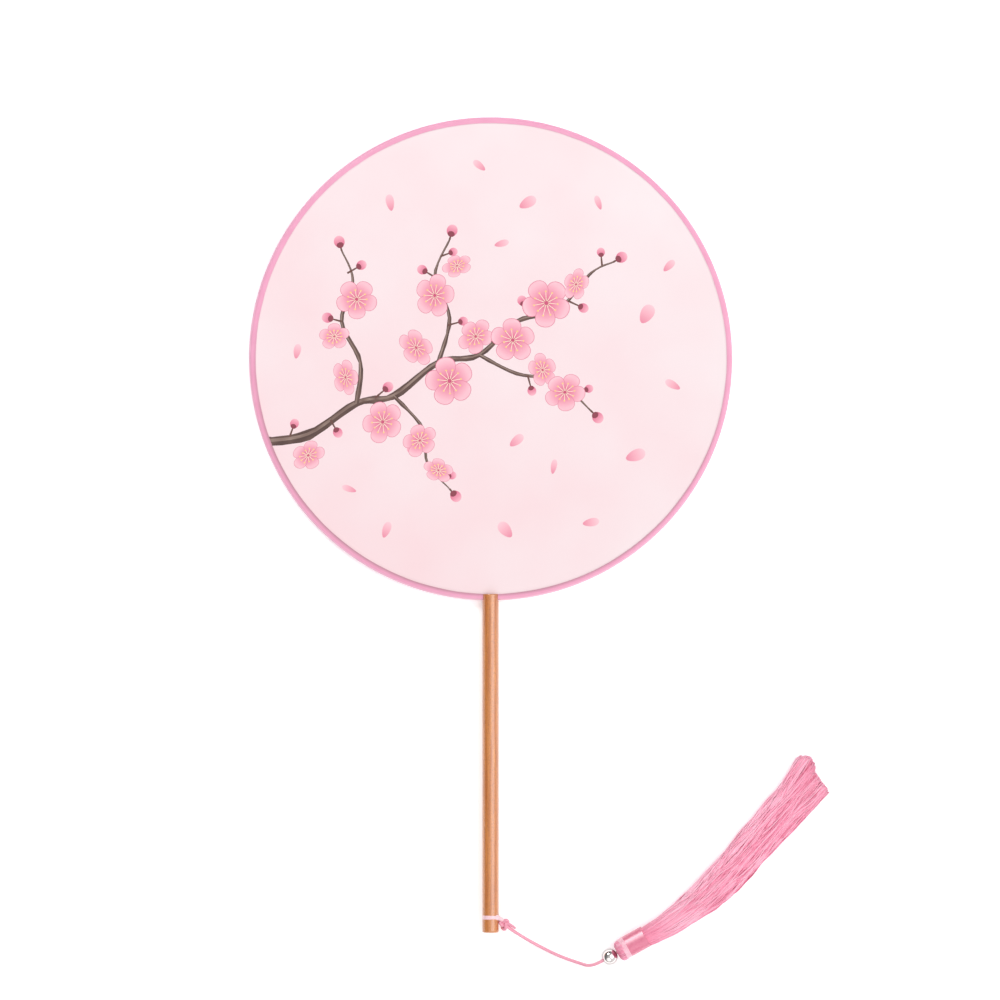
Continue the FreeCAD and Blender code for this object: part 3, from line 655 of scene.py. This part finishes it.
# Free cord: the same satin cord, from the knot down to the table, along it, and up a little to
# the bead. It is limp and lies in one loose curve.
route = [Vector(p) * mm for p in (
    (10.409, -217.016, 6.189), (16.309, -221.016, 5.131), (25.409, -226.416, 0.9), (37.009, -232.216, 0.9),
    (47.409, -235.816, 0.9), (54.249, -237.776, 4.2), (59.449, -234.896, 4.2))]
free_cord = cord_tube("free_cord", route, 3, False)
free_cord.data.materials.append(satin_cord)
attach(free_cord, "cord")
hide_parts("tassel_cord")


# Bead: a turned ball of polished, plated metal, drilled through for the cord. It sits close to the
# head of the tassel and turns freely.
bead_centre = Vector((64.1719 * mm, -232.2785 * mm, 4.2 * mm))
tassel_way = Matrix.Translation(bead_centre) @ Matrix.Rotation(math.radians(29), 4, "Z")
bead_radius = 4.2 * mm
bore_radius = 0.98 * mm


# Takes a piece that was made about the bead's middle, along X, to its place on the table.
def set_on_tassel(piece):
    piece.matrix_world = tassel_way
    pick(piece)
    bpy.ops.object.transform_apply(location=True, rotation=True, scale=True)


bpy.ops.mesh.primitive_uv_sphere_add(
    segments=64, ring_count=48, radius=bead_radius, rotation=(0, math.pi / 2, 0))
bead = bpy.context.object
bead.name = "metal_bead"
bpy.ops.object.transform_apply(location=True, rotation=True, scale=True)
for spot in bead.data.vertices:
    spot.select = spot.co.yz.length < bore_radius * 0.9
for kind in (bead.data.edges, bead.data.polygons):
    for item in kind:
        item.select = all(bead.data.vertices[v].select for v in item.vertices)
bpy.ops.object.mode_set(mode="EDIT")
bpy.ops.mesh.delete(type="VERT")
bpy.ops.mesh.select_all(action="SELECT")
bpy.ops.mesh.region_to_loop()
bpy.ops.mesh.bridge_edge_loops()
bpy.ops.mesh.select_all(action="SELECT")
bpy.ops.mesh.normals_make_consistent(inside=False)
bpy.ops.object.mode_set(mode="OBJECT")
for spot in bead.data.vertices:
    if spot.co.yz.length < bore_radius * 1.5 and abs(spot.co.x) > bead_radius * 0.9:
        spot.co.yz = spot.co.yz.normalized() * bore_radius
apply_modifier(bead, "BEVEL", width=0.25 * mm, segments=3, limit_method="ANGLE", angle_limit=math.radians(40))
pick(bead)
bpy.ops.object.shade_smooth_by_angle(angle=math.radians(40))
set_on_tassel(bead)

# Plated metal: bright and mirror smooth, with the faint haze of a polished part.
plated_metal, tree, shader = new_finish("plated_metal")
place = node(tree, "TexCoord").outputs["Object"]
haze = node(tree, "TexNoise", {"Scale": 1 / (1.2 * mm), "Detail": 4.0}, {"Vector": place})
tint = node(tree, "ValToRGB", links={"Fac": haze.outputs["Fac"]})
tint.color_ramp.elements[0].color = linear("#ece3e1")
tint.color_ramp.elements[1].color = linear("#faf4f3")
gloss = node(tree, "MapRange", {"To Min": 0.05, "To Max": 0.12}, {"Value": haze.outputs["Fac"]})
tree.links.new(tint.outputs["Color"], shader.inputs["Base Color"])
tree.links.new(gloss.outputs["Result"], shader.inputs["Roughness"])
shader.inputs["Metallic"].default_value = 1.0
shader.inputs["Specular Tint"].default_value = linear("#2a2424")
bead.data.materials.append(plated_metal)
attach(bead, "bead")
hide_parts("bead")


# Hanger: the end of the cord, which passes through the bead into the head of the tassel and is
# knotted inside it.
hanger_bend = Vector((-5.4, 0, 0)) * mm
hanger = cord_tube("hanger", [Vector((x, 0, 0)) * mm for x in (-5.35, -2.0, 2.0, 5.0, 9.4)], 3, False)
make_mesh(hanger)
bend = round_bend(hanger_bend)
pick(hanger)
bend.select_set(True)
bpy.ops.object.join()
set_on_tassel(hanger)
hanger.data.materials.append(satin_cord)
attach(hanger, "tassel")
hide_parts("hanger_cord")


# Head: the top of the hank of thread, where it folds over the cord. It is short and blunt, with
# a rounded edge, and goes straight into the binding.
random.seed(7)
head_lift = 1.8 * mm
head_start = 4.5
head_end = 8.0
head_radius = 5.8
hanger_radius = 1.2
# How far each fold lies behind the top of the head, and how far out from its middle.
fold_line = flowing([(0.35, hanger_radius), (0.3, 2.3), (0.4, 3.6), (1.0, 4.8), (2.0, 5.4), (3.0, 5.5),
                     (4.2, 5.5)], 2)
fold_count = 64
fold_thickness = 0.3 * mm


# Threads along a list of paths, with the radii that all of them have from end to end, as one mesh.
def thread_bundle(name, paths, radii, sides):
    bundle = bpy.data.curves.new(name, "CURVE")
    bundle.dimensions = "3D"
    bundle.bevel_depth = 1.0
    bundle.bevel_resolution = sides
    for path in paths:
        thread = bundle.splines.new("POLY")
        thread.points.add(len(path) - 1)
        for spot, place, radius in zip(thread.points, path, radii):
            spot.co = (*place, 1.0)
            spot.radius = radius
        thread.use_smooth = True
    piece = bpy.data.objects.new(name, bundle)
    bpy.context.collection.objects.link(piece)
    make_mesh(piece)
    bpy.ops.object.mode_set(mode="EDIT")
    bpy.ops.mesh.select_all(action="SELECT")
    bpy.ops.mesh.fill_holes(sides=4 + 2 * sides)
    bpy.ops.object.mode_set(mode="OBJECT")
    return piece


# Each thread's tone, from dark to pale, along its length.
def give_tones(piece, tones):
    mark = piece.data.attributes.new("tone", "FLOAT", "POINT")
    each = len(piece.data.vertices) // len(tones)
    for number, item in enumerate(mark.data):
        row = tones[number // each]
        item.value = row[min(len(row) - 1, number % each * len(row) // each)]


folds = []
for number in range(fold_count):
    around = math.tau * (number + random.uniform(-0.25, 0.25)) / fold_count
    fold = []
    for back, out in fold_line:
        lift = head_lift * (out - hanger_radius) / (head_radius - 0.3 - hanger_radius)
        fold.append(((head_start + back) * mm, math.cos(around) * out * mm,
                     lift + math.sin(around) * out * mm))
    folds.append(fold)
head = thread_bundle("thread_folds", folds, [fold_thickness] * len(fold_line), 1)
fold_tone = [random.uniform(0.3, 0.7) for fold in folds]
last = len(fold_line) - 1
# Painted shade: the folds are darker towards the bead, where the head meets it.
give_tones(head, [[tone - 0.15 - 0.6 * (1 - step / last) ** 2 for step in range(last + 1)]
                  for tone in fold_tone])
set_on_tassel(head)

# Tassel thread: soft spun rayon in pale and deeper pinks, each thread a little different, with
# a silky sheen along it.
tassel_thread, tree, shader = new_finish("tassel_thread")
shade = node(tree, "Attribute", {"attribute_name": "tone"})
place = node(tree, "TexCoord").outputs["Object"]
uneven = node(tree, "TexNoise", {"Scale": 1 / (5 * mm), "Detail": 2.0}, {"Vector": place})
tone = node(tree, "Math", {"operation": "MULTIPLY_ADD", 1: 0.25}, {
    0: uneven.outputs["Fac"], 2: shade.outputs["Fac"]})
tint = node(tree, "ValToRGB", links={"Fac": tone.outputs["Value"]})
tint.color_ramp.elements[0].color = linear("#d0607f")
tint.color_ramp.elements[1].position = 0.9
tint.color_ramp.elements[1].color = linear("#ffcadc")
tint.color_ramp.elements.new(0.14).color = linear("#e27d9a")
tint.color_ramp.elements.new(0.3).color = linear("#f49ab6")
tree.links.new(tint.outputs["Color"], shader.inputs["Base Color"])
fine = node(tree, "TexNoise", {"Scale": 1 / (0.5 * mm), "Detail": 2.0}, {"Vector": place})
gloss = node(tree, "MapRange", {"To Min": 0.4, "To Max": 0.58}, {"Value": fine.outputs["Fac"]})
tree.links.new(gloss.outputs["Result"], shader.inputs["Roughness"])
shader.inputs["Sheen Weight"].default_value = 0.2
shader.inputs["Sheen Tint"].default_value = linear("#ffa9c4")
shader.inputs["Specular Tint"].default_value = linear("#ffc4d6")
head.data.materials.append(tassel_thread)
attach(head, "tassel")
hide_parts("tassel_head")


# Neck binding: glossy thread wound tightly round the neck, one turn beside the next, so that
# it looks like a smooth sleeve.
neck_start = head_end * mm
neck_end = 22.3 * mm
neck_radius = 5.9 * mm
wound_thread = 0.42 * mm
pitch = wound_thread * 0.92
turn_steps = 40
turns = int((neck_end - neck_start) / pitch) - 1
winding = []
for step in range(turns * turn_steps + 1):
    around = math.tau * step / turn_steps
    radius = neck_radius - wound_thread / 2
    winding.append((neck_start + wound_thread / 2 + pitch * step / turn_steps,
                    math.cos(around) * radius, head_lift + math.sin(around) * radius))
# The first turns are raised into a collar and painted paler, as a painted highlight on it.
collar_turns = 7
raised_collar_highlight = [1.0 if step < collar_turns * turn_steps else 0.0 for step in range(turns * turn_steps + 1)]
binding = thread_bundle(
    "neck_winding", [winding], [wound_thread * (0.5 + 0.2 * share) for share in raised_collar_highlight], 1)
give_tones(binding, [raised_collar_highlight])
bpy.ops.mesh.primitive_cylinder_add(
    vertices=80, radius=neck_radius - wound_thread * 0.04, depth=neck_end - neck_start - 0.6 * mm,
    location=((neck_start + neck_end) / 2, 0, head_lift), rotation=(0, math.pi / 2, 0))
core = bpy.context.object
apply_modifier(core, "BEVEL", width=0.3 * mm, segments=3, limit_method="ANGLE", angle_limit=math.radians(40))
bpy.ops.object.shade_smooth_by_angle(angle=math.radians(10))
bpy.ops.object.transform_apply(location=True, rotation=True, scale=True)
pick(binding)
core.select_set(True)
bpy.ops.object.join()
# The folded hank beneath is not quite round, so the sleeve has three soft flats, and it settles
# a little where it lies on the table.
flat_depth = 0.075
flat_turn = math.radians(23)
table_level = -bead_centre.z
for spot in binding.data.vertices:
    around = math.atan2(spot.co.y, spot.co.z - head_lift)
    spread = 1 - flat_depth * math.cos(3 * (around - flat_turn))
    spot.co.y *= spread
    spot.co.z = max(head_lift + (spot.co.z - head_lift) * spread, table_level + 0.05 * mm)
set_on_tassel(binding)

# Binding thread: the same pink thread, pulled tight, so it is deeper in colour and shinier.
binding_thread, tree, shader = new_finish("binding_thread")
place = node(tree, "TexCoord").outputs["Object"]
uneven = node(tree, "TexNoise", {"Scale": 1 / (1.2 * mm), "Detail": 2.0}, {"Vector": place})
tint = node(tree, "ValToRGB", links={"Fac": uneven.outputs["Fac"]})
tint.color_ramp.elements[0].position = 0.3
tint.color_ramp.elements[0].color = linear("#db708d")
tint.color_ramp.elements[1].position = 0.7
tint.color_ramp.elements[1].color = linear("#e3809b")
gloss = node(tree, "MapRange", {"To Min": 0.27, "To Max": 0.34}, {"Value": uneven.outputs["Fac"]})
# Painted highlight: the collar's turns are mixed towards a pale pink.
painted_collar_highlight = node(tree, "Attribute", {"attribute_name": "tone"})
colour = node(tree, "Mix", {"data_type": "RGBA", 7: linear("#fbc3d3")}, {
    0: painted_collar_highlight.outputs["Fac"], 6: tint.outputs["Color"]})
tree.links.new(colour.outputs[2], shader.inputs["Base Color"])
tree.links.new(gloss.outputs["Result"], shader.inputs["Roughness"])
shader.inputs["Specular IOR Level"].default_value = 0.65
shader.inputs["Coat Weight"].default_value = 0.75
shader.inputs["Coat Roughness"].default_value = 0.25
binding.data.materials.append(binding_thread)
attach(binding, "tassel")
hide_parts("neck_binding")


# Skirt: several hundred fine threads that leave the neck together, part into soft locks, bend to
# the left where they lie on the table, and end in an uneven cut.
skirt_start = 15.0
skirt_neck = 7.3
skirt_length = 133.1
skirt_width = 27.0
skirt_height = 10.8
straight_share, first_bend_share, second_bend_share = 0.06, 0.3, 0.64
first_turn, second_turn = 17, 6
# Each bend's length, and the degrees that it turns through. The second runs on to the cut.
bends = ((first_bend_share * skirt_length, first_turn), (skirt_length, second_turn / second_bend_share))
# Share of the length, then of the width and of the height there.
skirt_rows = [(0.0, 0.395, 1.0), (0.06, 0.41, 0.95), (0.12, 0.48, 0.90), (0.25, 0.535, 0.84),
              (0.40, 0.65, 0.78), (0.53, 0.70, 0.74), (0.66, 0.71, 0.70), (0.80, 0.735, 0.66),
              (0.90, 0.86, 0.62), (1.0, 1.0, 0.58)]
# Place across the skirt, from its right edge to its left, and how much shorter it is cut there.
cut_rows = [(-1.0, 9.0), (-0.2, 6.0), (0.15, 5.0), (0.5, 0.0), (1.0, 5.0)]


# What the rows give at a place between two of them.
def between(rows, at):
    for row, after in zip(rows, rows[1:]):
        if at <= after[0]:
            share = (at - row[0]) / (after[0] - row[0])
            return [a + (b - a) * share for a, b in zip(row[1:], after[1:])]
    return list(rows[-1][1:])


# The skirt's middle line: straight out of the neck, then through two bends on the table.
def middle_line(distance):
    straight = min(distance, skirt_neck + straight_share * skirt_length)
    spot = Vector((skirt_start + straight, 0.0))
    heading = 0.0
    left = distance - straight
    for length, turn in bends:
        run = min(left, length)
        bend = math.radians(turn) / length
        if run > 0:
            spot = spot + Vector((math.sin(heading + bend * run) - math.sin(heading),
                                  math.cos(heading) - math.cos(heading + bend * run))) / bend
            heading += bend * run
            left -= run
    return spot, heading


layers = {"upper_threads": ([], []), "under_threads": ([], [])}
# One lock in the middle and two rings of them round it: how far out, how many and how far turned.
locks = [(0.0, 0.0)]
for ring_share, count, start in ((0.5, 6, 0.0), (0.84, 12, 0.2)):
    locks += [(ring_share * math.cos(t + start), ring_share * math.sin(t + start)) for t in angles(count)]
lock_tone = [random.uniform(-0.16, 0.16) for lock in locks]
lock_wave = [random.uniform(0, math.tau) for lock in locks]
# Where the hank leaves the binding the yarns are deeper in colour, then catch the light on the
# swell of the skirt, and deepen again towards the cut.
shade_rows = [(0.0, -0.55), (0.06, -0.33), (0.10, -0.27), (0.17, -0.03), (0.3, -0.08), (0.6, -0.15),
              (1.0, -0.15)]
calm_rows = [(0.0, 0.3), (0.1, 0.35), (0.25, 1.0), (1.0, 1.0)]
steps = 46
yarns = 920
golden_turn = 2.39996
# More yarns lie on the outside than within, and they stand out a little past the solid.
inward_share, fluff = 0.8, 1.04
ragged_cut = 1.6
# Inside the binding the yarns are drawn together, and they spread over its mouth.
bound_share, mouth_lead, mouth_run = 0.88, 0.3, 2.5
# Each yarn leans towards its lock and sways with it.
lock_pull, lock_sway, lock_waves = 0.18, 0.7, 15
# A crinkle is left from the winding, strongest before the middle of the skirt.
crinkle_middle, crinkle_spread, crinkle_out, crinkle_up = 0.38, 0.3, 0.2, 0.12
# Heights over the table, and how far a yarn rises and falls.
neck_height, lying_gap, yarn_room, yarn_lift = 6.0, 0.1, 0.5, 0.3
for number in range(yarns):
    share = math.sqrt((number + 0.5) / yarns)
    share = 1 - (1 - share) * inward_share
    around = number * golden_turn
    side, up = share * math.cos(around), share * math.sin(around)
    lock = min(range(len(locks)), key=lambda k: (locks[k][0] - side) ** 2 + (locks[k][1] - up) ** 2)
    length = skirt_neck + skirt_length - between(cut_rows, side)[0] - random.uniform(0, ragged_cut)
    phase, lift = random.uniform(0, math.tau), random.uniform(0, math.tau)
    sway, pace, stray = random.uniform(0.3, 1.0), random.uniform(9, 24), random.uniform(-0.2, 0.2)
    crimp = random.uniform(0.4, 0.62)
    strand = []
    for step in range(steps + 1):
        distance = length * step / steps
        along = max(0.0, distance - skirt_neck) / skirt_length
        width, height = between(skirt_rows, along)
        pull = lock_pull * min(1.0, along * 2)
        loose = min(1.0, along * 4)
        a = side + (locks[lock][0] - side) * pull
        a += stray * loose * math.cos(along * 5 + phase) * (1 - abs(side))
        b = up + (locks[lock][1] - up) * pull
        spot, heading = middle_line(distance)
        crinkle = loose * math.exp(-((along - crinkle_middle) / crinkle_spread) ** 2)
        free = max(0.0, min(1.0, (distance - skirt_neck + mouth_lead) / mouth_run))
        snug = bound_share + (1 - bound_share) * free
        out = a * skirt_width * fluff * width / 2 * snug + loose * (
            lock_sway * math.sin(along * lock_waves + lock_wave[lock])
            + sway * math.sin(along * pace + phase))
        out += crinkle_out * crinkle * math.sin(distance * crimp + phase)
        half = skirt_height * height / 2
        rise = half + lying_gap + b * (half - yarn_room)
        rise += yarn_lift * loose * math.sin(along * pace * 0.8 + lift)
        rise += crinkle_up * crinkle * math.sin(distance * crimp * 1.2 + lift)
        rise += (1 - min(1.0, along * 6)) * (neck_height - skirt_height / 2 - lying_gap)
        rise = max(rise, yarn_room) + table_level / mm
        strand.append(Vector((spot.x - math.sin(heading) * out, spot.y + math.cos(heading) * out, rise)) * mm)
    strands, tones = layers["upper_threads" if up > 0 else "under_threads"]
    strands.append(strand)
    # Painted light: the upper yarns are a little paler, and the outer yarns on the left, which lie in shade,
    # are painted paler still.
    yarn_tone_and_light = lock_tone[lock] + random.uniform(-0.3, 0.3) + 0.1 * up + 0.3 * max(0.0, side - 0.45)
    tones.append([0.5 + yarn_tone_and_light * between(calm_rows, step / steps)[0] + between(shade_rows, step / steps)[0]
                  for step in range(steps + 1)])
# A yarn is tight at the neck, swells once it is free, and is a little finer at its cut end.
radii = [(0.24 + 0.13 * min(1.0, 4 * step / steps) - 0.2 * max(0.0, step / steps - 0.7)) * mm
         for step in range(steps + 1)]
for name, (strands, tones) in layers.items():
    layer = thread_bundle(name, strands, radii, 0)
    give_tones(layer, tones)
    set_on_tassel(layer)
    layer.data.materials.append(tassel_thread)
    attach(layer, "tassel")
    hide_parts("tassel_strands")


# Table, lights and camera: a white light table, lit a little from below so that shadows stay soft,
# under three soft boxes, seen from straight above.
table_size, table_gap = 6.0, 0.02 * mm
bpy.ops.mesh.primitive_plane_add(size=table_size, location=(0, 0, -table_gap))
table = bpy.context.object
table.name = "table"
matt_white, tree, shader = new_finish("matt_white")
place = node(tree, "TexCoord").outputs["Object"]
paper = node(tree, "TexNoise", {"Scale": 1 / (2.0 * mm), "Detail": 3.0}, {"Vector": place})
tint = node(tree, "ValToRGB", links={"Fac": paper.outputs["Fac"]})
tint.color_ramp.elements[0].color = linear("#fbfbfb")
tint.color_ramp.elements[1].color = linear("#ffffff")
tree.links.new(tint.outputs["Color"], shader.inputs["Base Color"])
shader.inputs["Roughness"].default_value = 0.9
shader.inputs["Emission Color"].default_value = linear("#ffffff")
shader.inputs["Emission Strength"].default_value = 0.28
table.data.materials.append(matt_white)

# The studio: a soft glow, strongest from the lower right, and three round soft boxes, each with its
# place and width in metres and its power in watts.
world = bpy.data.worlds.new("studio")
bpy.context.scene.world = world
world.use_nodes = True
sky = world.node_tree
way = node(sky, "TexCoord")
toward = node(sky, "VectorMath", {"operation": "DOT_PRODUCT", 1: Vector((0.6, -0.36, 0.75)).normalized()},
              {0: way.outputs["Generated"]})
glow = node(sky, "MapRange", {
    "interpolation_type": "SMOOTHSTEP", "From Min": -0.2, "From Max": 1.0, "To Min": 0.16, "To Max": 0.8},
    {"Value": toward.outputs["Value"]})
sky.links.new(glow.outputs["Result"], sky.nodes["Background"].inputs["Strength"])
sky.nodes["Background"].inputs["Color"].default_value = linear("#ffffff")
for name, spot, size, power in (
        ("key_box", (1.4, 0.0, 2.1), 2.4, 25.0), ("front_box", (-0.5, -1.6, 1.3), 2.2, 7.5),
        ("strip_box", (-0.96, 1.73, 1.8), 0.9, 26.0)):
    lamp = bpy.data.lights.new(name, "AREA")
    lamp.shape = "DISK"
    lamp.size = size
    lamp.energy = power
    lamp_object = bpy.data.objects.new(name, lamp)
    bpy.context.collection.objects.link(lamp_object)
    lamp_object.location = spot
    lamp_object.rotation_euler = (-Vector(spot)).to_track_quat("-Z", "Y").to_euler()

# A long lens from far above, because the photograph shows almost no perspective.
lens = bpy.data.cameras.new("camera")
lens.lens = 300.0
lens.sensor_width = 36.0
camera = bpy.data.objects.new("camera", lens)
bpy.context.collection.objects.link(camera)
picture_middle, camera_height = (5.11 * mm, 13.3 * mm), 4485.8 * mm
camera.location = (*picture_middle, camera_height)
bpy.context.scene.camera = camera
bpy.context.scene.view_settings.view_transform = "Standard"
